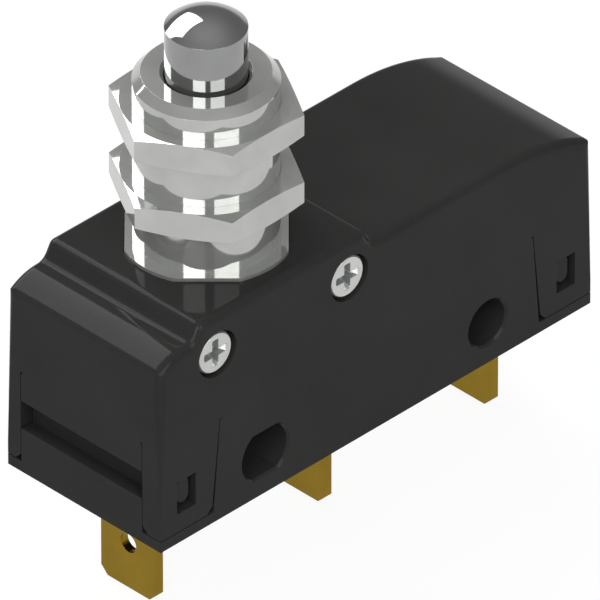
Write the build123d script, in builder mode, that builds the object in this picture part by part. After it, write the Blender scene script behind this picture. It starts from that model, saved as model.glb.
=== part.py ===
from build123d import *
import math
import os

os.makedirs("parts", exist_ok=True)

# Snap-action switch with a threaded bush, a domed plunger and three flat tabs.
# Origin on the axis of the round fixing hole, half way through the depth.
# +X runs along the body away from the plunger, +Y to the back, +Z towards the plunger. Millimetres.

# Outside of the body
body_length = 49.2
body_depth = 17.5
body_height = 20.0
hole_pitch = 25.4
hole_height = 3.9
bush_inset = 13.95
edge_round = 0.8
end_round = 0.6

# The upright corners are sharp at the foot and grow rounder towards the top
foot_height = 2.2
taper_height = 14.1
corner_foot = 0.05
corner_top = 0.75

# Top line of the body, seen from the front
step_drop = 1.55
crest_radius = 5.5
fall_length = 10.1
fall_radius = 22.4
overhang = 1.0
step_half_width = 10.7
step_concave = 0.9
step_convex = 0.85
step_angle = 60.0

# Walls, joints between the two mouldings and their clearances
wall = 1.6
skin = 1.5
plate = 1.0
leg_gap = 0.1
slit = 0.08
panel_height = 9.95
end_panel_height = 9.85
panel_foot = 5.83
panel_head = 6.7
end_leg_front = 2.05
end_leg_back = 1.5
leg_chamfer = 0.6
panel_corner = 0.4
end_panel_thickness = 2.9
groove_rise = 4.3
groove_width = 2.7
groove_depth = 1.3

# Latch windows in the legs, and the hooks of the base behind them
window_near = 1.86
window_width = 2.12
window_rise = 2.86
window_height = 3.14
hook_margin = 0.4
hook_rise = 3.38
hook_height = 2.37
hook_recess = 0.45
hook_round = 0.65
post_centre = 4.5
post_width = 5.4
post_height = 8.5
post_inner = 4.2
post_clearance = 0.15

# Fixing holes
hole_radius = 2.1
flat_hole_radius = 2.525
boss_radius = 3.4
flat_boss_radius = 3.8
hole_chamfer = 0.2

# Bush, with a flatted foot seated in a block below the deck and held by two cross screws
bush_height = 15.92
thread_radius = 6.0
bush_chamfer = 0.7
bush_foot_radius = 7.1
bush_foot_flats = 13.16
flange_height = 0.3
seat_share = 0.7104
seat_ledge = 0.8
seat_clearance = 0.05
seat_opening = 5.0
block_reach = 10.9
plunger_bore = 3.465
bore_chamfer = 0.3
stop_height = 4.0
chamber_radius = 4.7

# Cross screws
screw_offset = 7.47
screw_share = 0.567
screw_head_radius = 1.9
screw_head_height = 1.4
screw_head_chamfer = 0.15
screw_recess = 0.25
screw_pocket_radius = 2.12
screw_shank_radius = 1.25
screw_length = 13.4
screw_tip_chamfer = 0.3
cross_width = 0.69
cross_reach = 2.55
cross_depth = 0.9
cross_taper = 6.0
cross_cone = 28.0

# Nuts on the bush
nut_flats = 14.05
nut_height = 2.5
nut_clearance = 0.01
nut_chamfer_drop = 0.27
lower_nut_rise = 4.3
upper_nut_rise = 10.83

# Plunger, its springs and the retaining ring
plunger_radius = 3.385
plunger_rim = 20.31
plunger_dome = 1.3
collar_radius = 4.6
collar_height = 1.5
skirt_radius = 2.6
skirt_drop = 1.5
spring_bore_radius = 2.05
spring_bore_rise = 12.0
spring_bore_tip = 0.8
ring_groove_radius = 5.2
ring_groove_rise = 1.8
ring_groove_width = 0.8
ring_thickness = 0.7
ring_outer = 5.15
ring_inner = 3.4
ring_opening = 2.4
ring_lug_radius = 0.75
ring_lug_hole_radius = 0.35
ring_lug_x = 3.6
ring_lug_y = 1.9
return_spring_radius = 3.95
return_wire = 0.3
return_turns = 4.5
overtravel_spring_radius = 1.65
overtravel_wire = 0.2
overtravel_turns = 8.0

# Button between the overtravel spring and the contact arm
button_stem_radius = 1.98
button_rise = 1.0
button_flange_radius = 3.7
button_flange_rise = 0.9
button_flange_height = 0.8
button_nose_radius = 1.6
button_nose_rise = 0.5
button_travel = 0.75
press_clearance = 0.03

# Tabs and contacts
tab_inset = 5.38
tab_width = 6.3
tab_thickness = 0.8
tab_reach = 10.4
tab_chamfer = 0.75
tab_hole_radius = 0.88
tab_hole_above_tip = 4.4
bend_inside = 0.3
block_margin = 1.4
strip_width = 5.0
strip_overhang = 2.0
contact_setback = 5.82
contact_radius = 1.45
contact_height = 0.7
contact_shank = 0.75
contact_chamfer = 0.25
contact_gap = 1.0
touch_gap = 0.05
rivet_radius = 1.15
rivet_height = 0.35
shelf_length = 3.82
lip_clearance = 0.55
notch_depth = 0.3
notch_flare = 0.25
notch_clearance = 0.03
pivot_play = 0.1

# Contact arm and the bow spring under it
arm_thickness = 0.3
arm_width = 5.2
arm_taper_far = 8.0
arm_taper_near = 3.0
arm_end_reach = 1.9
arm_end_margin = 0.5
arm_end_round = 1.2
arm_window_start = 2.4
arm_window_length = 5.0
arm_window_width = 2.8
arm_window_round = 0.4
bow_width = 2.4
bow_thickness = 0.15
bow_sag = 1.9
bow_lip_gap = 0.1
bow_lip_drop = 0.45
bow_window_gap = 0.05
bow_window_rise = 0.1

# Levels and places that follow from the sizes
under = -hole_height
deck = under + body_height
shoulder = deck - step_drop
mid_x = -hole_pitch / 2
left = mid_x - body_length / 2
right = mid_x + body_length / 2
bush_x = left + bush_inset
fall_x = right - fall_length
half_depth = body_depth / 2
inner_half_depth = half_depth - wall
inner_left = left + wall
inner_right = right - wall
taper_start = under + foot_height
taper_end = taper_start + taper_height
leg_foot = under + plate + leg_gap
panel_top = under + panel_height
end_panel_top = under + end_panel_height
end_panel_front = -half_depth + end_leg_front
end_panel_back = half_depth - end_leg_back
window_centre = window_near + window_width / 2
hook_width = window_width - 2 * hook_margin
post_outer = inner_half_depth - post_clearance
block_right = bush_x + block_reach
screw_groove_radius = screw_offset - screw_shank_radius - seat_clearance
screw_groove_half = screw_shank_radius + seat_clearance
lower_nut_base = deck + lower_nut_rise
upper_nut_base = deck + upper_nut_rise
button_top = deck + button_rise
common_x = left + tab_inset
open_x = mid_x
closed_x = right - tab_inset
lip_right = common_x + shelf_length
contact_x = closed_x - contact_setback
strip_end = contact_x + strip_overhang
pivot_x = lip_right - notch_depth + pivot_play
open_strip_low = boss_radius
open_strip_high = open_strip_low + tab_thickness
arm_low = open_strip_high + 2 * contact_height + touch_gap + contact_gap
arm_high = arm_low + arm_thickness
closed_strip_low = arm_high + 2 * contact_height + touch_gap
closed_strip_high = closed_strip_low + tab_thickness
shelf_high = arm_low
shelf_low = shelf_high - tab_thickness
seat_depth = seat_share * (deck - arm_high)
bush_low = deck - seat_depth
block_low = bush_low - seat_ledge
screw_height = deck - screw_share * seat_depth
ring_groove_top = bush_low + ring_groove_rise
ring_low = ring_groove_top - (ring_groove_width + ring_thickness) / 2
button_flange_top = bush_low + button_flange_rise
lip_high = block_low - lip_clearance
arm_drop = (bush_x - pivot_x) * contact_gap / (contact_x - pivot_x)
button_tip = arm_high + button_travel - arm_drop + press_clearance
arm_window_left = bush_x + arm_window_start
arm_window_right = arm_window_left + arm_window_length
bow_start = (lip_right + bow_lip_gap, arm_low - bow_lip_drop)
bow_end = (arm_window_right - bow_window_gap, arm_low + bow_window_rise)
bow_middle = ((bow_start[0] + bow_end[0]) / 2, arm_low - bow_sag)


def body_plan(radius):
    """Outline of the body, seen from above."""
    with Locations((mid_x, 0)):
        RectangleRounded(body_length, body_depth, radius)


def bush_foot_plan(margin):
    """Round foot of the bush with four flats, seen from above."""
    with Locations((bush_x, 0)):
        Circle(bush_foot_radius + margin)
        Rectangle(
            bush_foot_flats + 2 * margin, bush_foot_flats + 2 * margin, rotation=45, mode=Mode.INTERSECT
        )


def side_outline(reach):
    """Side outline of the body, its two ends drawn out by a reach."""
    crest_span = bush_x - step_half_width - left + reach
    fall_span = right + reach - fall_x
    crest_drop = crest_radius - math.sqrt(crest_radius**2 - crest_span**2)
    fall_drop = fall_radius - math.sqrt(fall_radius**2 - fall_span**2)
    # Raised deck: a hollow foot, a steep ramp and a round brow, the same on both sides of the bush
    foot = JernArc((bush_x - step_half_width, shoulder), (1, 0), step_concave, step_angle)
    ramp_rise = deck - (foot @ 1).Y - step_convex * (1 - math.cos(math.radians(step_angle)))
    ramp = PolarLine(foot @ 1, ramp_rise / math.sin(math.radians(step_angle)), step_angle)
    brow = JernArc(ramp @ 1, ramp % 1, step_convex, -step_angle)
    Line(brow @ 1, (bush_x, deck))
    mirror(about=Plane.YZ.offset(bush_x))
    flat_line = Line((bush_x + step_half_width, shoulder), (fall_x, shoulder))
    fall = TangentArc(flat_line @ 1, (right + reach, shoulder - fall_drop), tangent=(1, 0))
    crest = TangentArc(foot @ 0, (left - reach, shoulder - crest_drop), tangent=(-1, 0))
    Polyline(fall @ 1, (right + reach, under), (left - reach, under), crest @ 1)


def mirrored_points(points):
    """The points, followed by their mirror images about the middle of the length."""
    return points + [(2 * mid_x - x, z) for x, z in reversed(points)]


# Outer envelope: a block whose upright corners grow rounder with height
with BuildPart() as envelope:
    with BuildSketch(Plane.XY.offset(under)):
        body_plan(corner_foot)
    extrude(amount=foot_height)
    with BuildSketch(Plane.XY.offset(taper_start)):
        body_plan(corner_foot)
    with BuildSketch(Plane.XY.offset(taper_end)):
        body_plan(corner_top)
    loft()
    with BuildSketch(Plane.XY.offset(taper_end)):
        body_plan(corner_top)
    extrude(amount=body_height)

# Outer block: side outline with the raised deck, long edges and the top edges of both ends rounded
with BuildPart() as outer_block:
    with BuildSketch(Plane.XZ):
        with BuildLine():
            side_outline(overhang)
        make_face()
    extrude(amount=half_depth, both=True)
    long_edges = outer_block.edges().filter_by(
        lambda e: abs(e.center().Y) > half_depth - 0.01
        and e.center().Z > under + body_height / 2
        and abs(e.tangent_at(0.5).Z) < 0.95
    )
    fillet(long_edges, edge_round)
    with BuildSketch(Plane.XZ) as end_profile:
        with BuildLine():
            side_outline(0)
        make_face()
        upper_corners = end_profile.vertices().filter_by(lambda v: v.Y > under + body_height / 2)
        end_corners = upper_corners.sort_by(Axis.X)
        fillet([end_corners[0], end_corners[-1]], end_round)
    extrude(amount=body_depth, both=True, mode=Mode.INTERSECT)
    add(envelope.part, mode=Mode.INTERSECT)

# Cover: deck, walls and the four latch legs at the corners
inner_fall_drop = (fall_radius - skin) - math.sqrt((fall_radius - skin) ** 2 - (inner_right - fall_x) ** 2)

with BuildPart() as cover:
    add(outer_block.part)
    # Space for the mechanism, lower under the block that carries the bush
    with BuildSketch(Plane.XZ):
        with BuildLine():
            ceiling = Line((block_right, shoulder - skin), (fall_x, shoulder - skin))
            slope = TangentArc(
                ceiling @ 1, (inner_right, shoulder - skin - inner_fall_drop), tangent=(1, 0)
            )
            Polyline(
                slope @ 1,
                (inner_right, under - 1),
                (inner_left, under - 1),
                (inner_left, block_low),
                (block_right, block_low),
                ceiling @ 0,
            )
        make_face()
    extrude(amount=inner_half_depth, both=True, mode=Mode.SUBTRACT)
    # Cut-outs that take the long panels of the base, with a small chamfer at the foot of each leg
    with BuildSketch(Plane.XZ):
        Polygon(
            *mirrored_points(
                [
                    (left + panel_foot - 1.5 * leg_chamfer, leg_foot - leg_chamfer / 2),
                    (left + panel_foot, leg_foot + leg_chamfer),
                    (left + panel_head, panel_top),
                ]
            ),
            align=None,
        )
    extrude(amount=body_depth, both=True, mode=Mode.SUBTRACT)
    # Cut-outs for the end panels
    with BuildSketch(Plane.YZ.offset(left - 1)):
        Polygon(
            (end_panel_front - 1.5 * leg_chamfer, leg_foot - leg_chamfer / 2),
            (end_panel_front, leg_foot + leg_chamfer),
            (end_panel_front, end_panel_top),
            (end_panel_back, end_panel_top),
            (end_panel_back, leg_foot + leg_chamfer),
            (end_panel_back + 1.5 * leg_chamfer, leg_foot - leg_chamfer / 2),
            align=None,
        )
    extrude(amount=body_length + 2, mode=Mode.SUBTRACT)
    # Legs stop just above the plate of the base
    with BuildSketch(Plane.XY.offset(under - 1)):
        with Locations((mid_x, 0)):
            Rectangle(body_length + 2, body_depth + 2)
    extrude(amount=1 + plate + leg_gap, mode=Mode.SUBTRACT)
    # Latch windows, one in the long side of each leg
    with BuildSketch(Plane.XZ):
        with Locations(
            (left + window_centre, under + window_rise + window_height / 2),
            (right - window_centre, under + window_rise + window_height / 2),
        ):
            Rectangle(window_width, window_height)
    extrude(amount=body_depth, both=True, mode=Mode.SUBTRACT)
    # Seat and opening for the bush
    with BuildSketch(Plane.XY.offset(bush_low)):
        bush_foot_plan(seat_clearance)
    extrude(amount=seat_depth + 1, mode=Mode.SUBTRACT)
    with BuildSketch(Plane.XY.offset(block_low)):
        with Locations((bush_x, 0)):
            Circle(seat_opening)
    extrude(amount=seat_ledge, mode=Mode.SUBTRACT)
    # Holes and pockets for the two cross screws
    with BuildSketch(Plane.XZ.offset(half_depth + 1)):
        with Locations(
            (bush_x - screw_offset, screw_height),
            (bush_x + screw_offset, screw_height),
        ):
            Circle(screw_pocket_radius)
    extrude(amount=-(1 + screw_recess + screw_head_height), mode=Mode.SUBTRACT)
    with BuildSketch(Plane.XZ.offset(half_depth)):
        with Locations(
            (bush_x - screw_offset, screw_height),
            (bush_x + screw_offset, screw_height),
        ):
            Circle(screw_shank_radius)
    extrude(amount=-(screw_recess + screw_head_height + screw_length), mode=Mode.SUBTRACT)

# Outer panels of the base, trimmed to the outside shape of the body
with BuildPart() as panels:
    with BuildSketch(Plane.XZ) as long_panel:
        Polygon(
            *mirrored_points(
                [
                    (left + panel_foot + slit, under),
                    (left + panel_head + slit, panel_top),
                ]
            ),
            align=None,
        )
        fillet(long_panel.vertices().group_by(Axis.Y)[-1], panel_corner)
    extrude(amount=half_depth, both=True)
    with BuildSketch(Plane.XY.offset(under)):
        with Locations((mid_x, 0)):
            Rectangle(body_length, 2 * inner_half_depth)
    extrude(amount=body_height, mode=Mode.SUBTRACT)
    with BuildSketch(Plane.YZ.offset(left)) as end_panel:
        with Locations(((end_panel_front + end_panel_back) / 2, (under + end_panel_top) / 2)):
            Rectangle(end_panel_back - end_panel_front - 2 * slit, end_panel_top - under)
        fillet(end_panel.vertices().group_by(Axis.Y)[-1], panel_corner)
    extrude(amount=end_panel_thickness)
    with BuildSketch(Plane.YZ.offset(right)) as far_end_panel:
        with Locations(((end_panel_front + end_panel_back) / 2, (under + end_panel_top) / 2)):
            Rectangle(end_panel_back - end_panel_front - 2 * slit, end_panel_top - under)
        fillet(far_end_panel.vertices().group_by(Axis.Y)[-1], panel_corner)
    extrude(amount=-end_panel_thickness)
    add(envelope.part, mode=Mode.INTERSECT)
    # Finger groove across both ends
    with BuildSketch(Plane.XZ):
        with Locations(
            (left, under + groove_rise + groove_width / 2),
            (right, under + groove_rise + groove_width / 2),
        ):
            Rectangle(2 * groove_depth, groove_width)
    extrude(amount=half_depth, both=True, mode=Mode.SUBTRACT)


def terminal_block(x_low, x_high, top):
    """Solid block of the base that holds a tab, from the plate up to a level."""
    with Locations(((x_low + x_high) / 2, 0, (under + top) / 2)):
        Box(x_high - x_low, 2 * post_inner, top - under)


def fixing_holes(margin):
    """Round hole, and its partner with two flats that lets the pitch vary."""
    with Locations((-hole_pitch, 0)):
        Circle(flat_hole_radius + margin)
        Rectangle(2 * (flat_hole_radius + margin), 2 * (hole_radius + margin), mode=Mode.INTERSECT)
    Circle(hole_radius + margin)


# Base: plate, panels, posts with hooks, tubes of the fixing holes and blocks that hold the tabs
with BuildPart() as base:
    with BuildSketch(Plane.XY.offset(under)):
        body_plan(corner_foot)
    extrude(amount=plate)
    with BuildSketch(Plane.XY.offset(under)):
        with Locations((left + post_centre, 0), (right - post_centre, 0)):
            Rectangle(post_width, 2 * post_outer)
    extrude(amount=post_height)
    with BuildSketch(Plane.XZ):
        with Locations(
            (left + window_centre, under + hook_rise + hook_height / 2),
            (right - window_centre, under + hook_rise + hook_height / 2),
        ):
            RectangleRounded(hook_width, hook_height, hook_round)
    extrude(amount=half_depth - hook_recess, both=True)
    with BuildSketch(Plane.XY.offset(under + plate)):
        with Locations((left + post_centre, 0), (right - post_centre, 0)):
            Rectangle(post_width, 2 * post_inner)
    extrude(amount=post_height, mode=Mode.SUBTRACT)
    add(panels.part)
    terminal_block(common_x - block_margin, lip_right, shelf_low)
    terminal_block(open_x - block_margin, open_x + block_margin, open_strip_low)
    terminal_block(closed_x - 2 * block_margin, closed_x + block_margin, closed_strip_low)
    with BuildSketch(Plane.XZ):
        Circle(boss_radius)
        with Locations((-hole_pitch, 0)):
            Circle(flat_boss_radius)
    extrude(amount=inner_half_depth, both=True)
    with BuildSketch(Plane.XZ):
        fixing_holes(0)
    extrude(amount=half_depth, both=True, mode=Mode.SUBTRACT)
    # Lead-in of the two holes, at the front and at the back
    with BuildSketch(Plane.XZ.offset(half_depth)):
        fixing_holes(hole_chamfer)
    extrude(amount=-hole_chamfer, taper=45, mode=Mode.SUBTRACT)
    with BuildSketch(Plane.XZ.offset(-half_depth)):
        fixing_holes(hole_chamfer)
    extrude(amount=hole_chamfer, taper=45, mode=Mode.SUBTRACT)
    # Slots for the tabs
    with BuildSketch(Plane.XY.offset(under)):
        with Locations((common_x, 0), (open_x, 0), (closed_x, 0)):
            Rectangle(tab_thickness, tab_width)
    extrude(amount=body_height, mode=Mode.SUBTRACT)

# Bush: threaded sleeve with a flatted foot, a groove for the screws and the plunger bore
with BuildPart() as bush:
    with BuildSketch(Plane.XZ):
        with BuildLine():
            Polyline(
                (bush_x + chamber_radius, bush_low),
                (bush_x + bush_foot_radius, bush_low),
                (bush_x + bush_foot_radius, screw_height - screw_groove_half),
                (bush_x + screw_groove_radius, screw_height - screw_groove_half),
                (bush_x + screw_groove_radius, screw_height + screw_groove_half),
                (bush_x + bush_foot_radius, screw_height + screw_groove_half),
                (bush_x + bush_foot_radius, deck + flange_height),
                (bush_x + thread_radius, deck + flange_height),
                (bush_x + thread_radius, deck + bush_height - bush_chamfer),
                (bush_x + thread_radius - bush_chamfer, deck + bush_height),
                (bush_x + plunger_bore + bore_chamfer, deck + bush_height),
                (bush_x + plunger_bore, deck + bush_height - bore_chamfer),
                (bush_x + plunger_bore, deck + stop_height),
                (bush_x + chamber_radius, deck + stop_height),
                (bush_x + chamber_radius, ring_groove_top),
                (bush_x + ring_groove_radius, ring_groove_top),
                (bush_x + ring_groove_radius, ring_groove_top - ring_groove_width),
                (bush_x + chamber_radius, ring_groove_top - ring_groove_width),
                close=True,
            )
        make_face()
    revolve(axis=Axis((bush_x, 0, 0), (0, 0, 1)))
    # Four flats that keep it from turning in its seat
    with BuildSketch(Plane.XY.offset(bush_low)):
        with Locations((bush_x, 0)):
            Circle(bush_foot_radius + 1)
            Rectangle(bush_foot_flats, bush_foot_flats, rotation=45, mode=Mode.SUBTRACT)
    extrude(amount=seat_depth + flange_height, mode=Mode.SUBTRACT)


def hex_nut(base_level):
    """Thin hexagon nut with both faces chamfered, corners along X."""
    corner = nut_flats / math.sqrt(3)
    with BuildPart() as nut:
        with BuildSketch(Plane.XY.offset(base_level)):
            with Locations((bush_x, 0)):
                RegularPolygon(radius=nut_flats / 2, side_count=6, major_radius=False)
                Circle(thread_radius + nut_clearance, mode=Mode.SUBTRACT)
        extrude(amount=nut_height)
        with BuildSketch(Plane.XZ):
            with BuildLine():
                Polyline(
                    (bush_x, base_level),
                    (bush_x + nut_flats / 2, base_level),
                    (bush_x + corner, base_level + nut_chamfer_drop),
                    (bush_x + corner, base_level + nut_height - nut_chamfer_drop),
                    (bush_x + nut_flats / 2, base_level + nut_height),
                    (bush_x, base_level + nut_height),
                    close=True,
                )
            make_face()
        revolve(axis=Axis((bush_x, 0, 0), (0, 0, 1)), mode=Mode.INTERSECT)
    return nut.part


with BuildPart() as lower_nut:
    add(hex_nut(lower_nut_base))

with BuildPart() as upper_nut:
    add(hex_nut(upper_nut_base))


def cross_screw(x):
    """Cross-recessed screw, entered from the front."""
    face = half_depth - screw_recess
    with BuildPart() as recess:
        with BuildSketch(Plane.XZ.offset(face)):
            with Locations((x, screw_height)):
                Rectangle(cross_reach, cross_width)
                Rectangle(cross_width, cross_reach)
        extrude(amount=-cross_depth, taper=cross_taper)
        with BuildSketch(Plane.XZ.offset(face)):
            with Locations((x, screw_height)):
                Circle(cross_reach / 2)
        extrude(amount=-cross_depth, taper=cross_cone, mode=Mode.INTERSECT)
    with BuildPart() as screw:
        with BuildSketch(Plane.XZ.offset(face)):
            with Locations((x, screw_height)):
                Circle(screw_head_radius)
        extrude(amount=-screw_head_height)
        chamfer(screw.faces().sort_by(Axis.Y)[0].edges(), screw_head_chamfer)
        with BuildSketch(Plane.XZ.offset(face - screw_head_height)):
            with Locations((x, screw_height)):
                Circle(screw_shank_radius)
        extrude(amount=-screw_length)
        chamfer(screw.faces().sort_by(Axis.Y)[-1].edges(), screw_tip_chamfer)
        add(recess.part, mode=Mode.SUBTRACT)
    return screw.part


with BuildPart() as left_screw:
    add(cross_screw(bush_x - screw_offset))

with BuildPart() as right_screw:
    add(cross_screw(bush_x + screw_offset))

# Plunger: domed pin with a stop collar and a skirt that guides the button
with BuildPart() as plunger:
    with BuildSketch(Plane.XZ):
        with BuildLine():
            dome = TangentArc(
                (bush_x, deck + plunger_rim + plunger_dome),
                (bush_x + plunger_radius, deck + plunger_rim),
                tangent=(1, 0),
            )
            Polyline(
                dome @ 0,
                (bush_x, deck + spring_bore_rise + spring_bore_tip),
                (bush_x + spring_bore_radius, deck + spring_bore_rise),
                (bush_x + spring_bore_radius, deck - skirt_drop),
                (bush_x + skirt_radius, deck - skirt_drop),
                (bush_x + skirt_radius, deck + stop_height - collar_height),
                (bush_x + collar_radius, deck + stop_height - collar_height),
                (bush_x + collar_radius, deck + stop_height),
                (bush_x + plunger_radius, deck + stop_height),
                dome @ 1,
            )
        make_face()
    revolve(axis=Axis((bush_x, 0, 0), (0, 0, 1)))


def coil_spring(low, high, mean_radius, wire, turns):
    """Compression spring between two levels, with its ends ground flat and a six-sided wire."""
    rise = high - low
    with BuildPart() as spring:
        with BuildLine(Plane((bush_x, 0, low))) as coil:
            Helix(pitch=rise / turns, height=rise, radius=mean_radius)
        with BuildSketch(Plane((bush_x + mean_radius, 0, low), z_dir=coil.line % 0)):
            RegularPolygon(radius=wire, side_count=6)
        sweep(is_frenet=True)
        with BuildSketch(Plane.XY.offset(low)):
            with Locations((bush_x, 0)):
                Circle(mean_radius + 2 * wire)
        extrude(amount=rise, mode=Mode.INTERSECT)
    return spring.part


with BuildPart() as return_spring:
    add(
        coil_spring(
            ring_low + ring_thickness,
            deck + stop_height - collar_height,
            return_spring_radius,
            return_wire,
            return_turns,
        )
    )

with BuildPart() as overtravel_spring:
    add(
        coil_spring(
            button_top,
            deck + spring_bore_rise,
            overtravel_spring_radius,
            overtravel_wire,
            overtravel_turns,
        )
    )

# Retaining ring: open ring with two lugs, snapped in the groove of the bush
with BuildPart() as retaining_ring:
    with BuildSketch(Plane.XY.offset(ring_low)):
        with Locations((bush_x, 0)):
            Circle(ring_outer)
            Circle(ring_inner, mode=Mode.SUBTRACT)
        with Locations((bush_x + ring_outer, 0)):
            Rectangle(2 * ring_inner, ring_opening, mode=Mode.SUBTRACT)
        with Locations((bush_x + ring_lug_x, ring_lug_y), (bush_x + ring_lug_x, -ring_lug_y)):
            Circle(ring_lug_radius)
            Circle(ring_lug_hole_radius, mode=Mode.SUBTRACT)
    extrude(amount=ring_thickness)

# Button: stem in the skirt of the plunger, flange and rounded nose
with BuildPart() as button:
    with BuildSketch(Plane.XZ):
        with BuildLine():
            nose = TangentArc(
                (bush_x, button_tip),
                (bush_x + button_nose_radius, button_tip + button_nose_rise),
                tangent=(1, 0),
            )
            Polyline(
                nose @ 0,
                (bush_x, button_top),
                (bush_x + button_stem_radius, button_top),
                (bush_x + button_stem_radius, button_flange_top),
                (bush_x + button_flange_radius, button_flange_top),
                (bush_x + button_flange_radius, button_flange_top - button_flange_height),
                (bush_x + button_nose_radius, button_flange_top - button_flange_height),
                nose @ 1,
            )
        make_face()
    revolve(axis=Axis((bush_x, 0, 0), (0, 0, 1)))


def tab_trim(x):
    """What is cut away from a tab: the corners of its tip and its locating hole."""
    tip = under - tab_reach
    with BuildPart() as trim:
        with BuildSketch(Plane.YZ.offset(x - tab_thickness)):
            for side in (-1, 1):
                Polygon(
                    (side * tab_width / 2, tip),
                    (side * (tab_width / 2 - tab_chamfer), tip),
                    (side * tab_width / 2, tip + tab_chamfer),
                    align=None,
                )
            with Locations((0, tip + tab_hole_above_tip)):
                Circle(tab_hole_radius)
        extrude(amount=2 * tab_thickness)
    return trim.part


def narrow_strip(x_low, x_high):
    """Trim the inner strip of a terminal to its width."""
    for side in (-1, 1):
        with Locations(((x_low + x_high) / 2, side * (strip_width / 2 + 1), shelf_high)):
            Box(x_high - x_low, 2, body_height / 2, mode=Mode.SUBTRACT)


# Common terminal: tab, shelf and an upright lip with the notch that the contact arm pivots in
with BuildPart() as common_terminal:
    with BuildSketch(Plane.XZ) as bent_tab:
        with Locations((common_x, (under - tab_reach + shelf_high) / 2)):
            Rectangle(tab_thickness, shelf_high - under + tab_reach)
        Polygon(
            (common_x - tab_thickness / 2, shelf_low),
            (lip_right, shelf_low),
            (lip_right, lip_high),
            (lip_right - tab_thickness, lip_high),
            (lip_right - tab_thickness, shelf_high),
            (common_x - tab_thickness / 2, shelf_high),
            align=None,
        )
        Polygon(
            (lip_right, arm_low - notch_flare),
            (lip_right, arm_high + notch_flare),
            (lip_right - notch_depth, arm_high + notch_clearance),
            (lip_right - notch_depth, arm_low - notch_clearance),
            align=None,
            mode=Mode.SUBTRACT,
        )
        outer_bend = bent_tab.vertices().sort_by_distance((common_x - tab_thickness / 2, shelf_high))[0]
        fillet(outer_bend, bend_inside + tab_thickness)
    extrude(amount=tab_width / 2, both=True)
    add(tab_trim(common_x), mode=Mode.SUBTRACT)

# Normally open terminal: tab bent over the boss, its contact faces up
with BuildPart() as open_terminal:
    with BuildSketch(Plane.XZ) as bent_tab:
        with Locations((open_x, (under - tab_reach + open_strip_high) / 2)):
            Rectangle(tab_thickness, open_strip_high - under + tab_reach)
        strip_middle = (open_x - tab_thickness / 2 + strip_end) / 2
        with Locations((strip_middle, (open_strip_low + open_strip_high) / 2)):
            Rectangle(strip_end - open_x + tab_thickness / 2, tab_thickness)
        outer_bend = bent_tab.vertices().sort_by_distance((open_x - tab_thickness / 2, open_strip_high))[0]
        fillet(outer_bend, bend_inside + tab_thickness)
    extrude(amount=tab_width / 2, both=True)
    add(tab_trim(open_x), mode=Mode.SUBTRACT)
    narrow_strip(open_x + strip_overhang, strip_end)
    with BuildSketch(Plane.XY.offset(open_strip_low)):
        with Locations((contact_x, 0)):
            Circle(contact_shank)
    extrude(amount=tab_thickness, mode=Mode.SUBTRACT)

# Normally closed terminal: tab bent back over the arm, its contact faces down
with BuildPart() as closed_terminal:
    with BuildSketch(Plane.XZ) as bent_tab:
        with Locations((closed_x, (under - tab_reach + closed_strip_high) / 2)):
            Rectangle(tab_thickness, closed_strip_high - under + tab_reach)
        strip_length = closed_x + tab_thickness / 2 - contact_x + strip_overhang
        with Locations(
            (contact_x - strip_overhang + strip_length / 2, (closed_strip_low + closed_strip_high) / 2)
        ):
            Rectangle(strip_length, tab_thickness)
        bend_point = (closed_x + tab_thickness / 2, closed_strip_high)
        outer_bend = bent_tab.vertices().sort_by_distance(bend_point)[0]
        fillet(outer_bend, bend_inside + tab_thickness)
    extrude(amount=tab_width / 2, both=True)
    add(tab_trim(closed_x), mode=Mode.SUBTRACT)
    narrow_strip(contact_x - strip_overhang, closed_x - strip_overhang)
    with BuildSketch(Plane.XY.offset(closed_strip_low)):
        with Locations((contact_x, 0)):
            Circle(contact_shank)
    extrude(amount=tab_thickness, mode=Mode.SUBTRACT)


def contact_head(base_level, direction):
    """Head of a contact rivet on its strip, up or down."""
    with Locations((contact_x, 0, base_level + direction * contact_height / 2)):
        Cylinder(contact_radius, contact_height)


with BuildPart() as open_contact:
    contact_head(open_strip_high, 1)
    chamfer(open_contact.faces().sort_by(Axis.Z)[-1].edges(), contact_chamfer)
    with BuildSketch(Plane.XY.offset(open_strip_low)):
        with Locations((contact_x, 0)):
            Circle(contact_shank)
    extrude(amount=tab_thickness)

with BuildPart() as closed_contact:
    contact_head(closed_strip_low, -1)
    chamfer(closed_contact.faces().sort_by(Axis.Z)[0].edges(), contact_chamfer)
    with BuildSketch(Plane.XY.offset(closed_strip_low)):
        with Locations((contact_x, 0)):
            Circle(contact_shank)
    extrude(amount=tab_thickness)
    with BuildSketch(Plane.XY.offset(closed_strip_high)):
        with Locations((contact_x, 0)):
            Circle(rivet_radius)
    extrude(amount=rivet_height)

with BuildPart() as moving_contact:
    contact_head(arm_low, -1)
    contact_head(arm_high, 1)
    chamfer(moving_contact.faces().sort_by(Axis.Z)[0].edges(), contact_chamfer)
    chamfer(moving_contact.faces().sort_by(Axis.Z)[-1].edges(), contact_chamfer)
    with BuildSketch(Plane.XY.offset(arm_low)):
        with Locations((contact_x, 0)):
            Circle(contact_shank)
    extrude(amount=arm_thickness)

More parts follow.
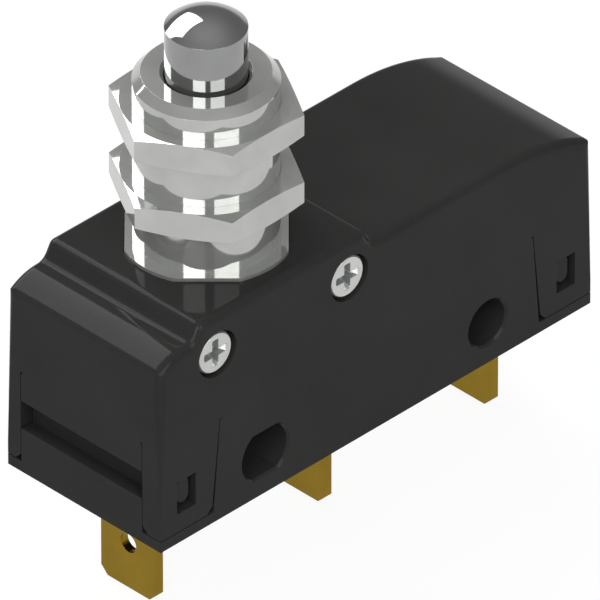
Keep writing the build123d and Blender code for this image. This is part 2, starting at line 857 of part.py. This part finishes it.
# Contact arm: sprung strip with a window for the bow spring and a tapered contact end
with BuildPart() as contact_arm:
    with BuildSketch(Plane.XY.offset(arm_low)) as arm_plan:
        Polygon(
            (pivot_x, -arm_width / 2),
            (contact_x - arm_taper_far, -arm_width / 2),
            (contact_x - arm_taper_near, -contact_radius - arm_end_margin),
            (contact_x + arm_end_reach, -contact_radius - arm_end_margin),
            (contact_x + arm_end_reach, contact_radius + arm_end_margin),
            (contact_x - arm_taper_near, contact_radius + arm_end_margin),
            (contact_x - arm_taper_far, arm_width / 2),
            (pivot_x, arm_width / 2),
            align=None,
        )
        fillet(arm_plan.vertices().group_by(Axis.X)[-1], arm_end_round)
        with Locations((arm_window_left + arm_window_length / 2, 0)):
            RectangleRounded(arm_window_length, arm_window_width, arm_window_round, mode=Mode.SUBTRACT)
        with Locations((contact_x, 0)):
            Circle(contact_shank, mode=Mode.SUBTRACT)
    extrude(amount=arm_thickness)

# Bow spring: leaf bowed under the arm, from the lip of the common terminal to the window's far edge
with BuildPart() as bow_spring:
    with BuildSketch(Plane.XZ):
        with BuildLine():
            upper_leaf = ThreePointArc(bow_start, (bow_middle[0], bow_middle[1] + bow_thickness), bow_end)
            lower_leaf = ThreePointArc(
                (bow_start[0], bow_start[1] - bow_thickness),
                bow_middle,
                (bow_end[0], bow_end[1] - bow_thickness),
            )
            Line(upper_leaf @ 0, lower_leaf @ 0)
            Line(upper_leaf @ 1, lower_leaf @ 1)
        make_face()
    extrude(amount=bow_width / 2, both=True)

named_parts = {
    "base": base,
    "cover": cover,
    "bush": bush,
    "lower_nut": lower_nut,
    "upper_nut": upper_nut,
    "left_screw": left_screw,
    "right_screw": right_screw,
    "plunger": plunger,
    "return_spring": return_spring,
    "retaining_ring": retaining_ring,
    "overtravel_spring": overtravel_spring,
    "button": button,
    "common_terminal": common_terminal,
    "open_terminal": open_terminal,
    "closed_terminal": closed_terminal,
    "open_contact": open_contact,
    "closed_contact": closed_contact,
    "moving_contact": moving_contact,
    "contact_arm": contact_arm,
    "bow_spring": bow_spring,
}
for name, built in named_parts.items():
    built.part.label = name
    export_step(built.part, f"parts/{name}.step")
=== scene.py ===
"""Looks of a snap-action switch with a plated bush, a domed plunger and three brass tabs.

Metres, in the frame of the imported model: the origin is on the axis of the round fixing hole,
+X runs along the body away from the plunger, +Y to the back and +Z towards the plunger.
"""

import logging
import math
from collections.abc import Sequence
from dataclasses import dataclass
from enum import Enum

import bpy
import numpy as np
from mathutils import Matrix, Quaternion, Vector


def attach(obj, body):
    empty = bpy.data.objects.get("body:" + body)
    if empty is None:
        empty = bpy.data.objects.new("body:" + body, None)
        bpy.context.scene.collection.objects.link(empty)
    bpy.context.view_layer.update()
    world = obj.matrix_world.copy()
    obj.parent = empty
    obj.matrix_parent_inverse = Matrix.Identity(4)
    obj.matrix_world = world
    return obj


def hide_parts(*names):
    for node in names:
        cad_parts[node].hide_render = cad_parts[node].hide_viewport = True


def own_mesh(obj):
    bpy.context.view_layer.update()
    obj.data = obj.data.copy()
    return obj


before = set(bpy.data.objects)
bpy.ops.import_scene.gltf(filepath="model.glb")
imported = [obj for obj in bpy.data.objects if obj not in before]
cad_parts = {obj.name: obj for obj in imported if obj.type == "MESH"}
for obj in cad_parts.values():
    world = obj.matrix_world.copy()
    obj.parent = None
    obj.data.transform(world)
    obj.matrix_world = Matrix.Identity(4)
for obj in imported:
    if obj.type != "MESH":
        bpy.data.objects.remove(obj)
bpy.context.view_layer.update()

Colour = tuple[float, float, float]
Socket = bpy.types.NodeSocket

MM = 0.001

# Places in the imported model
BUSH_AXIS = (-23.35 * MM, 0.0, 0.0)
TAB_TIP = -14.3 * MM

# Where the contrasty middle of a noise starts and ends, and how much of it each finer octave keeps
NOISE_LOW, NOISE_HIGH = 0.3, 0.7
OCTAVE_SHARE = 0.55

# Numbers of the Mix node's sockets for colours
MIX_FACTOR, MIX_FIRST, MIX_SECOND, MIX_RESULT = 0, 6, 7, 2

WHITE = (1.0, 1.0, 1.0, 1.0)

log = logging.getLogger("micro_switch")


class Grain(Enum):
    """How the fine lines of a worked metal surface run."""

    TURNED = "round the axis of the bush"
    ROLLED = "along the height"
    MOTTLED = "in no direction"


class Body(Enum):
    """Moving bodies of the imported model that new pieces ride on."""

    PLUNGER = "plunger"


def tinted(colour: Colour, share: float) -> Colour:
    """A colour made lighter or darker by a share of itself."""
    return tuple(channel * share for channel in colour)


def grey(level: float) -> tuple[float, float, float, float]:
    """A neutral colour of one level, with an opacity of 1."""
    return (level, level, level, 1.0)


def towards(azimuth: float, elevation: float) -> Vector:
    """Unit vector at an azimuth from +X and an elevation, both in degrees."""
    turn, rise = math.radians(azimuth), math.radians(elevation)
    return Vector((math.cos(turn) * math.cos(rise), math.sin(turn) * math.cos(rise), math.sin(rise)))


class NodeBench:
    """Node tree of one material or of the world, with short calls that add nodes and join them."""

    def __init__(self, tree: bpy.types.NodeTree) -> None:
        """Start from an empty tree.

        Args:
            tree: The node tree to fill.
        """
        self.tree = tree
        self.tree.nodes.clear()

    def add(
        self, kind: str, inputs: dict[str | int, object] | None = None, **settings: object
    ) -> bpy.types.Node:
        """Add one node.

        Args:
            kind: Blender's type name without the "ShaderNode" in front.
            inputs: Values or output sockets by input name or number.
            **settings: Properties of the node itself.

        Returns:
            The new node.
        """
        node = self.tree.nodes.new("ShaderNode" + kind)
        for key, value in settings.items():
            setattr(node, key, value)
        for key, value in (inputs or {}).items():
            if isinstance(value, Socket):
                self.tree.links.new(value, node.inputs[key])
            else:
                node.inputs[key].default_value = value
        return node

    def place(self) -> Socket:
        """Socket with the place on the piece, in metres."""
        return self.add("TexCoord").outputs["Object"]

    def math(self, operation: str, *terms: object) -> Socket:
        """Result socket of a Math node on up to three values or sockets."""
        return self.add("Math", dict(enumerate(terms)), operation=operation).outputs[0]

    def average(self, first: Socket, second: Socket, share: float) -> Socket:
        """Weighted average of two signals.

        Args:
            first: Socket with the first signal.
            second: Socket with the second signal.
            share: Weight of the first signal, 0 to 1.

        Returns:
            The socket with the average.
        """
        rest = self.math("MULTIPLY", second, 1.0 - share)
        return self.math("MULTIPLY_ADD", first, share, rest)

    def spread(self, source: Socket, low: float, high: float) -> Socket:
        """A 0 to 1 signal's contrasty middle, spread from one value to another.

        Args:
            source: Socket with the signal, such as a noise.
            low: Value where the signal is low.
            high: Value where the signal is high.

        Returns:
            The socket with the spread signal.
        """
        spans = {
            "Value": source,
            "From Min": NOISE_LOW,
            "From Max": NOISE_HIGH,
            "To Min": low,
            "To Max": high,
        }
        return self.add("MapRange", spans).outputs[0]

    def around(self, source: Socket, value: float, share: float) -> Socket:
        """A signal spread from a value less a share of it to the value and as much more."""
        return self.spread(source, value * (1.0 - share), value * (1.0 + share))

    def blend(self, factor: Socket, first: Colour | Socket, second: Colour) -> Socket:
        """Colour between two colours.

        Args:
            factor: Socket that is 0 for the first colour and 1 for the second.
            first: Linear red, green and blue, or the socket that has them.
            second: Linear red, green and blue.

        Returns:
            The socket with the mixed colour.
        """
        start = first if isinstance(first, Socket) else (*first, 1.0)
        inputs = {MIX_FACTOR: factor, MIX_FIRST: start, MIX_SECOND: (*second, 1.0)}
        return self.add("Mix", inputs, data_type="RGBA", clamp_factor=True).outputs[MIX_RESULT]

    def mottle(self, clouds: Socket, colour: Colour, share: float) -> Socket:
        """A colour that clouds make darker and lighter by up to a share of itself."""
        darker, lighter = tinted(colour, 1.0 - share), tinted(colour, 1.0 + share)
        return self.blend(self.spread(clouds, 0.0, 1.0), darker, lighter)

    def noise(self, vector: Socket, size: float, detail: float) -> Socket:
        """Noise whose blotches are about one size.

        Args:
            vector: Socket with the place on the piece, in metres.
            size: Size of a blotch in metres.
            detail: Octaves of finer noise.

        Returns:
            The socket with the noise, 0 to 1.
        """
        inputs = {"Vector": vector, "Scale": 1.0 / size, "Detail": detail, "Roughness": OCTAVE_SHARE}
        return self.add("TexNoise", inputs).outputs[0]

    def relief(
        self, height: Socket, depth: float, edge_round: float, strength: float = 0.5, samples: int = 4
    ) -> Socket:
        """Normal of a surface with a fine relief and softened edges.

        Args:
            height: Socket with the relief, 0 to 1.
            depth: Depth of the relief in metres.
            edge_round: Radius of the softened edges in metres.
            strength: How strongly the relief shows, 0 to 1.
            samples: Rays with which the edges are found.

        Returns:
            The socket with the normal.
        """
        edge = self.add("Bevel", {"Radius": edge_round}, samples=samples).outputs[0]
        inputs = {"Strength": strength, "Distance": depth, "Height": height, "Normal": edge}
        return self.add("Bump", inputs).outputs[0]


@dataclass(frozen=True)
class Finish:
    """A procedural finish with a name of its own."""

    name: str

    def shader(self, bench: NodeBench) -> bpy.types.Node:
        """Lay out the finish's nodes.

        Args:
            bench: The material's bench.

        Returns:
            The shader at the end of the nodes.
        """
        raise NotImplementedError

    def make(self) -> bpy.types.Material:
        """Build the material.

        Returns:
            The material, with the finish's shader as its surface.
        """
        material = bpy.data.materials.new(self.name)
        material.use_nodes = True
        bench = NodeBench(material.node_tree)
        bench.add("OutputMaterial", {"Surface": self.shader(bench).outputs[0]})
        return material


@dataclass(frozen=True)
class MouldedPlastic(Finish):
    """Glass-filled plastic from a lightly eroded mould, with softened edges.

    Mottle is the share by which grain and flow clouds change its colour, and sheen the share by which the
    clouds change its roughness.
    """

    colour: Colour
    roughness: float
    gloss: float
    grain_size: float = 0.22 * MM
    grain_depth: float = 0.0012 * MM
    grain_share: float = 0.5
    cloud_size: float = 7.0 * MM
    mottle: float = 0.12
    sheen: float = 0.15
    edge_round: float = 0.03 * MM

    def shader(self, bench: NodeBench) -> bpy.types.Node:
        """Lay out a fine moulded grain, faint flow clouds and softened edges.

        Args:
            bench: The material's bench.

        Returns:
            The plastic's shader.
        """
        place = bench.place()
        grain = bench.noise(place, self.grain_size, detail=3.0)
        clouds = bench.noise(place, self.cloud_size, detail=2.0)
        mixed = bench.average(grain, clouds, self.grain_share)
        inputs = {
            "Base Color": bench.mottle(mixed, self.colour, self.mottle),
            "Roughness": bench.around(clouds, self.roughness, self.sheen),
            "Specular IOR Level": self.gloss,
            "Normal": bench.relief(grain, self.grain_depth, self.edge_round),
        }
        return bench.add("BsdfPrincipled", inputs)


@dataclass(frozen=True)
class WorkedMetal(Finish):
    """Bare or plated metal with the fine lines of its tool, faint handling marks and softened edges.

    Tarnish and wear are the shares by which its colour and its roughness change. Clarity is the share of
    its light that it reflects clearly; a faint haze scatters the rest.
    """

    colour: Colour
    roughness: float
    grain: Grain
    line_size: float = 0.05 * MM
    line_depth: float = 0.0001 * MM
    line_share: float = 0.6
    cloud_size: float = 3.0 * MM
    edge_round: float = 0.015 * MM
    tarnish: float = 0.06
    wear: float = 0.25
    clarity: float = 1.0
    rolled_stretch: float = 0.03
    turned_ring: float = 0.2 * MM

    def line_place(self, bench: NodeBench) -> Socket:
        """Coordinates that stretch a noise into the lines of the tool.

        Turned lines use the unit vector from the axis, shortened, with the sum of radius and height as the
        third coordinate, so that they run round walls and round faces alike and close on themselves.

        Args:
            bench: The material's bench.

        Returns:
            The socket with the coordinates, in metres.
        """
        start = bench.place()
        if self.grain is Grain.MOTTLED:
            return start
        if self.grain is Grain.ROLLED:
            stretch = (1.0, 1.0, self.rolled_stretch)
            return bench.add("Mapping", {"Vector": start, "Scale": stretch}).outputs[0]
        shift = tuple(-coordinate for coordinate in BUSH_AXIS)
        centred = bench.add("Mapping", {"Vector": start, "Location": shift}).outputs[0]
        flat = bench.add("VectorMath", {0: centred, 1: (1.0, 1.0, 0.0)}, operation="MULTIPLY").outputs[0]
        radius = bench.add("VectorMath", {0: flat}, operation="LENGTH").outputs["Value"]
        unit = bench.add("VectorMath", {0: flat}, operation="NORMALIZE").outputs[0]
        ring = bench.add("VectorMath", {0: unit, "Scale": self.turned_ring}, operation="SCALE").outputs[0]
        across = bench.add("SeparateXYZ", {0: ring}).outputs
        height = bench.add("SeparateXYZ", {0: centred}).outputs[2]
        inputs = {0: across[0], 1: across[1], 2: bench.math("ADD", radius, height)}
        return bench.add("CombineXYZ", inputs).outputs[0]

    def tone(self, bench: NodeBench, clouds: Socket) -> Socket:
        """Colour of the metal, with a faint tarnish.

        Args:
            bench: The material's bench.
            clouds: Socket with broad noise.

        Returns:
            The socket with the colour.
        """
        return bench.mottle(clouds, self.colour, self.tarnish)

    def shader(self, bench: NodeBench) -> bpy.types.Node:
        """Lay out a metal whose roughness and relief follow the lines of its tool.

        Args:
            bench: The material's bench.

        Returns:
            The metal's shader.
        """
        lines = bench.noise(self.line_place(bench), self.line_size, detail=2.0)
        clouds = bench.noise(bench.place(), self.cloud_size, detail=2.0)
        marks = bench.average(lines, clouds, self.line_share)
        inputs = {
            "Base Color": self.tone(bench, clouds),
            "Metallic": self.clarity,
            "Roughness": bench.around(marks, self.roughness, self.wear),
            "Normal": bench.relief(lines, self.line_depth, self.edge_round),
        }
        return bench.add("BsdfPrincipled", inputs)


@dataclass(frozen=True)
class ScrewMetal(WorkedMetal):
    """Zinc-plated screw with painted shade in its cross recess, which makes the recess darker than its
    face.
    """

    face_level: float = -8.5 * MM
    # Depths below the face where the painted recess shade starts and where it is full, then the colour of
    # that painted shade
    recess_start: float = 0.02 * MM
    recess_full: float = 0.12 * MM
    painted_recess_shade: Colour = (0.42, 0.43, 0.43)

    def tone(self, bench: NodeBench, clouds: Socket) -> Socket:
        """Colour of the face, with painted shade from just below its level into the recess.

        Args:
            bench: The material's bench.
            clouds: Socket with broad noise.

        Returns:
            The socket with the colour.
        """
        face = super().tone(bench, clouds)
        # Painted shade: the colour darkens towards the painted recess shade from just below the face's
        # level
        spans = {
            "Value": bench.add("SeparateXYZ", {0: bench.place()}).outputs[1],
            "From Min": self.face_level + self.recess_start,
            "From Max": self.face_level + self.recess_full,
        }
        depth = bench.add("MapRange", spans).outputs[0]
        return bench.blend(depth, face, self.painted_recess_shade)


@dataclass(frozen=True)
class FloorPaper(Finish):
    """Pale paper, nearly white to the camera and in mirrors, that still takes the switch's shadow.

    Glow and shade are what the camera and mirrors see of it; paper is what lights the switch.
    """

    glow: float = 0.88
    shade: float = 0.14
    paper: float = 0.48

    def shader(self, bench: NodeBench) -> bpy.types.Node:
        """Lay out the paper as it is seen and as it throws light back.

        Args:
            bench: The material's bench.

        Returns:
            The paper's shader.
        """
        path = bench.add("LightPath").outputs
        mirrored = bench.math("MAXIMUM", path["Is Glossy Ray"], path["Is Transmission Ray"])
        seen = bench.math("MAXIMUM", path["Is Camera Ray"], mirrored)
        paper = bench.add("BsdfDiffuse", {"Color": grey(self.paper)}).outputs[0]
        glow = bench.add("Emission", {"Color": WHITE, "Strength": self.glow}).outputs[0]
        shade = bench.add("BsdfDiffuse", {"Color": grey(self.shade)}).outputs[0]
        pale = bench.add("AddShader", {0: glow, 1: shade}).outputs[0]
        return bench.add("MixShader", {0: seen, 1: paper, 2: pale})


BODY_PLASTIC = MouldedPlastic("body_plastic", (0.0262, 0.0262, 0.0257), 0.07, gloss=0.038)
BUTTON_PLASTIC = MouldedPlastic("button_plastic", (0.62, 0.60, 0.54), 0.42, gloss=0.4)
NICKEL = WorkedMetal("nickel", (0.438, 0.445, 0.43), 0.06, Grain.TURNED, clarity=0.65)
PLUNGER_STEEL = WorkedMetal("plunger_steel", (0.27, 0.275, 0.271), 0.06, Grain.TURNED, clarity=0.94)
SPRING_STEEL = WorkedMetal("spring_steel", (0.36, 0.35, 0.33), 0.24, Grain.MOTTLED)
ZINC_STEEL = ScrewMetal(
    "zinc_steel", (0.51, 0.52, 0.5), 0.2, Grain.MOTTLED, edge_round=0.05 * MM, clarity=0.7
)
BRASS = WorkedMetal(
    "brass", (0.22, 0.138, 0.006), 0.24, Grain.ROLLED, edge_round=0.04 * MM, tarnish=0.08
)
SILVER = WorkedMetal("silver", (0.78, 0.77, 0.73), 0.2, Grain.MOTTLED)
ARM_COPPER = WorkedMetal("arm_copper", (0.62, 0.34, 0.20), 0.24, Grain.ROLLED, tarnish=0.1)


def dress(nodes: tuple[str, ...], finish: Finish) -> None:
    """Give CAD nodes a finish in their own material slots.

    Args:
        nodes: Names of the nodes.
        finish: The finish that they share.
    """
    material = finish.make()
    for name in nodes:
        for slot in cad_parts[name].material_slots:
            slot.material = material
        log.info("%s: dressed in %s", name, finish.name)


def mesh_object(
    name: str, points: np.ndarray, faces: Sequence[np.ndarray], smooth: bool
) -> bpy.types.Object:
    """Make an object from whole arrays.

    Args:
        name: Name of the object and its mesh.
        points: One row of x, y and z for each vertex.
        faces: Arrays with one row of vertex numbers for each face.
        smooth: Whether the faces are shaded smooth.

    Returns:
        The object, linked to the scene.
    """
    mesh = bpy.data.meshes.new(name)
    mesh.from_pydata(points.tolist(), [], [row for rows in faces for row in rows.tolist()])
    mesh.polygons.foreach_set("use_smooth", np.full(len(mesh.polygons), smooth))
    mesh.update()
    made = bpy.data.objects.new(name, mesh)
    bpy.context.collection.objects.link(made)
    log.info("%s: %d vertices, %d faces", name, len(mesh.vertices), len(mesh.polygons))
    return made


@dataclass
class Housing:
    """Two black mouldings: the base with its panels, and the cover with the four latch legs."""

    mouldings: tuple[str, ...] = ("base", "cover")

    def build(self) -> None:
        """Dress both mouldings."""
        dress(self.mouldings, BODY_PLASTIC)


@dataclass
class BushAndNuts:
    """Plated sleeve with its two thin hexagon nuts, and the cross screws that hold it."""

    plated: tuple[str, ...] = ("bush", "lower_nut", "upper_nut")
    screws: tuple[str, ...] = ("left_screw", "right_screw")

    def build(self) -> None:
        """Dress the sleeve, the nuts and the screws."""
        dress(self.plated, NICKEL)
        dress(self.screws, ZINC_STEEL)


@dataclass
class CoilSpring:
    """Compression spring of round wire, with closed ends ground flat.

    Closed_pitch is how far a closed turn rises and end_lift how far the middle of the wire stands off the
    ground end, both in radii of the wire.
    """

    name: str
    low: float
    high: float
    mean_radius: float
    wire_radius: float
    turns: float
    travel: float
    closed_turns: float = 0.75
    closed_pitch: float = 2.1
    end_lift: float = 0.6
    steps_per_turn: int = 36
    wire_sides: int = 14

    def centre_line(self) -> tuple[np.ndarray, np.ndarray]:
        """Line through the middle of the wire.

        The angle grows evenly. The height follows it in three straight runs: over the closed turns at
        each end it rises by hardly more than the wire, and between them it takes the rest of the way.

        Returns:
            The angles, and the points of the line.
        """
        count = round(self.turns * self.steps_per_turn)
        angle = np.linspace(0.0, 2 * math.pi * self.turns, count + 1)
        turn = angle / (2 * math.pi)
        start = self.low + self.end_lift * self.wire_radius
        stop = self.high - self.end_lift * self.wire_radius
        closed_rise = self.closed_turns * self.closed_pitch * self.wire_radius
        knots = [0.0, self.closed_turns, self.turns - self.closed_turns, self.turns]
        height = np.interp(turn, knots, [start, start + closed_rise, stop - closed_rise, stop])
        x = BUSH_AXIS[0] + self.mean_radius * np.cos(angle)
        y = BUSH_AXIS[1] + self.mean_radius * np.sin(angle)
        return angle, np.stack([x, y, height], axis=1)

    def faces(self, rings: int) -> list[np.ndarray]:
        """Faces between the rings of the wire, and over its two ends.

        A quad joins two neighbouring points of a ring to the same two of the next ring. A fan of triangles
        joins the first ring, and another the last, to its middle; the middles follow the rings' points.

        Args:
            rings: How many rings the wire has.

        Returns:
            The quads, the first fan and the last fan.
        """
        ring = np.arange(rings - 1)[:, None] * self.wire_sides
        side = np.arange(self.wire_sides)
        following = (side + 1) % self.wire_sides
        corners = (side, self.wire_sides + side, self.wire_sides + following, following)
        quads = np.stack([ring + corner for corner in corners], axis=-1).reshape(-1, 4)
        last = (rings - 1) * self.wire_sides
        middle = np.full_like(side, rings * self.wire_sides)
        first_fan = np.stack([middle, side, following], axis=-1)
        last_fan = np.stack([middle + 1, last + following, last + side], axis=-1)
        return [quads, first_fan, last_fan]

    def build(self) -> bpy.types.Object:
        """Carry a circle along the line.

        Each ring of the wire is the sum of the line's point, the outward direction times the cosine and
        the direction across the wire times the sine, both times the wire's radius. Heights beyond the two
        ends are pressed onto them, which is how the ends are ground.

        Returns:
            The finished spring.
        """
        angle, line = self.centre_line()
        along = np.gradient(line, axis=0)
        along /= np.linalg.norm(along, axis=1, keepdims=True)
        outward = np.stack([np.cos(angle), np.sin(angle), np.zeros_like(angle)], axis=1)
        across = np.cross(along, outward)
        across /= np.linalg.norm(across, axis=1, keepdims=True)
        around = np.arange(self.wire_sides) * 2 * math.pi / self.wire_sides
        rings = (
            line[:, None, :]
            + self.wire_radius * np.cos(around)[None, :, None] * outward[:, None, :]
            + self.wire_radius * np.sin(around)[None, :, None] * across[:, None, :]
        )
        rings[..., 2] = np.clip(rings[..., 2], self.low, self.high)
        points = np.concatenate([rings.reshape(-1, 3), line[:1], line[-1:]])
        return mesh_object(self.name, points, self.faces(len(line)), smooth=True)

    def fit(self, material: bpy.types.Material) -> None:
        """Build the spring, dress it and let it ride on the plunger.

        Args:
            material: The spring's material.
        """
        spring = self.build()
        spring.data.materials.append(material)
        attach(spring, Body.PLUNGER.value)
        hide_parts(self.name.removesuffix("_coil"))
        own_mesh(spring)


@dataclass
class PlungerGroup:
    """Domed pin with its two springs, the ring that holds them and the button that it presses."""

    return_spring: CoilSpring
    overtravel_spring: CoilSpring

    def build(self) -> None:
        """Dress the pin, the button and the ring, and make both springs."""
        dress(("plunger",), PLUNGER_STEEL)
        dress(("button",), BUTTON_PLASTIC)
        dress(("retaining_ring",), SPRING_STEEL)
        wire = SPRING_STEEL.make()
        self.return_spring.fit(wire)
        self.overtravel_spring.fit(wire)


@dataclass
class Contacts:
    """Brass tabs with their silver rivets, and the sprung arm between them."""

    tabs: tuple[str, ...] = ("common_terminal", "open_terminal", "closed_terminal")
    rivets: tuple[str, ...] = ("open_contact", "closed_contact", "moving_contact")
    strips: tuple[str, ...] = ("contact_arm", "bow_spring")

    def build(self) -> None:
        """Dress the tabs, the rivets and the arm."""
        dress(self.tabs, BRASS)
        dress(self.rivets, SILVER)
        dress(self.strips, ARM_COPPER)


@dataclass(frozen=True)
class Window:
    """Soft rectangular window, placed by the directions in degrees between which the switch sees it.

    Its radiance lights the switch softly. Its glare is how bright it looks where it is mirrored. The lamp
    of the glare hangs at a share of the distance, because of two lamps in one place only one is mirrored.
    """

    name: str
    from_angle: float
    to_angle: float
    from_height: float
    to_height: float
    radiance: float
    glare: float
    roll: float = 0.0
    distance: float = 0.9
    glare_share: float = 0.97

    def hang(self, aim: Vector) -> None:
        """Make the window's two lamps and turn them to the switch.

        At a distance of 1 the height is twice the tangent of half its angle. The width is that too, times
        the cosine of the elevation. The power of a lamp is pi times its area times its level.

        Args:
            aim: The point that they face.
        """
        elevation = (self.from_height + self.to_height) / 2
        direction = towards((self.from_angle + self.to_angle) / 2, elevation)
        half_angle = math.radians(self.to_angle - self.from_angle) / 2
        width = 2 * math.cos(math.radians(elevation)) * math.tan(half_angle)
        height = 2 * math.tan(math.radians(self.to_height - self.from_height) / 2)
        roll = Quaternion((0.0, 0.0, 1.0), math.radians(self.roll))
        turned = (direction.to_track_quat("Z", "Y") @ roll).to_euler()
        for level, away, mirrored in (
            (self.radiance, self.distance, False),
            (self.glare, self.distance * self.glare_share, True),
        ):
            data = bpy.data.lights.new(self.name, "AREA")
            data.shape = "RECTANGLE"
            data.size = width * away
            data.size_y = height * away
            data.energy = math.pi * data.size * data.size_y * level
            lamp = bpy.data.objects.new(self.name, data)
            bpy.context.collection.objects.link(lamp)
            lamp.location = aim + direction * away
            lamp.rotation_euler = turned
            lamp.visible_camera = False
            lamp.visible_glossy = mirrored
            lamp.visible_diffuse = not mirrored
        log.info("%s: %.2f by %.2f m", self.name, width * self.distance, height * self.distance)


@dataclass
class Studio:
    """Pale floor, grey surroundings with a white horizon, three soft windows and the camera.

    The surroundings have the sky's level at the horizon's top and its level and gain together overhead.
    """

    aim: Vector
    picture_width: float
    windows: tuple[Window, ...]
    lens: float = 1500.0
    sensor: float = 36.0
    azimuth: float = -135.0
    elevation: float = 35.264
    nearest: float = 0.1
    furthest: float = 10.0
    floor_radius: float = 2.2
    floor_sides: int = 96
    sky_level: float = 0.3
    sky_gain: float = 0.42
    sky_power: float = 4.0
    horizon_top: float = 0.18

    def build(self) -> None:
        """Make everything round the switch."""
        self.lay_floor()
        self.surround()
        for window in self.windows:
            window.hang(self.aim)
        self.set_camera()
        bpy.context.scene.view_settings.view_transform = "Standard"

    def lay_floor(self) -> None:
        """Round floor that the tips of the tabs touch.

        A point is the floor's radius times the cosine and sine of its angle, at one height.
        """
        angle = np.linspace(0.0, 2 * math.pi, self.floor_sides, endpoint=False)
        rim = np.stack([np.cos(angle), np.sin(angle), np.zeros_like(angle)], axis=1) * self.floor_radius
        rim[:, 2] = TAB_TIP
        floor = mesh_object("floor", rim, [np.arange(self.floor_sides)[None, :]], smooth=False)
        floor.data.materials.append(FloorPaper("floor_paper").make())

    def surround(self) -> None:
        """Grey surroundings, lighter overhead by a power of the height, white below the horizon."""
        world = bpy.data.worlds.new("surroundings")
        bpy.context.scene.world = world
        world.use_nodes = True
        bench = NodeBench(world.node_tree)
        direction = bench.add("TexCoord").outputs["Generated"]
        height = bench.add("SeparateXYZ", {0: direction}).outputs[2]
        overhead = bench.math("POWER", bench.math("ABSOLUTE", height), self.sky_power)
        sky = bench.math("MULTIPLY_ADD", overhead, self.sky_gain, self.sky_level)
        spans = {
            "Value": height,
            "From Min": self.horizon_top,
            "From Max": 0.0,
            "To Min": sky,
            "To Max": 1.0,
        }
        level = bench.add("MapRange", spans, interpolation_type="SMOOTHSTEP").outputs[0]
        background = bench.add("Background", {"Color": WHITE, "Strength": level}).outputs[0]
        bench.add("OutputWorld", {"Surface": background})

    def set_camera(self) -> None:
        """Camera at the photograph's angle, far enough away to flatten its view."""
        back = towards(self.azimuth, self.elevation)
        data = bpy.data.cameras.new("camera")
        data.lens = self.lens
        data.sensor_width = self.sensor
        data.clip_start = self.nearest
        data.clip_end = self.furthest
        camera = bpy.data.objects.new("camera", data)
        bpy.context.collection.objects.link(camera)
        camera.location = self.aim + back * (self.picture_width * self.lens / self.sensor)
        camera.rotation_euler = back.to_track_quat("Z", "Y").to_euler()
        bpy.context.scene.camera = camera


def main() -> None:
    """Build the studio, then dress the switch piece by piece."""
    logging.basicConfig(level=logging.INFO, format="%(name)s: %(message)s")
    Studio(
        aim=Vector((-12.708, 0.052, 4.274)) * MM,
        picture_width=48.45 * MM,
        windows=(
            Window("window_right", -122.4, -85.6, 12.0, 50.0, radiance=3.6, glare=6.6),
            Window("window_left", -170.2, -138.9, 12.0, 50.0, radiance=3.2, glare=9.1),
            Window("window_behind", 61.0, 114.5, 22.0, 61.0, radiance=4.2, glare=8.4, roll=-8.0),
        ),
    ).build()
    Housing().build()
    BushAndNuts().build()
    PlungerGroup(
        return_spring=CoilSpring(
            "return_spring_coil",
            low=11.35 * MM,
            high=18.6 * MM,
            mean_radius=3.95 * MM,
            wire_radius=0.3 * MM,
            turns=4.5,
            travel=4.0 * MM,
        ),
        overtravel_spring=CoilSpring(
            "overtravel_spring_coil",
            low=17.1 * MM,
            high=28.1 * MM,
            mean_radius=1.65 * MM,
            wire_radius=0.2 * MM,
            turns=8.0,
            travel=3.25 * MM,
        ),
    ).build()
    Contacts().build()


if __name__ == "__main__":
    main()
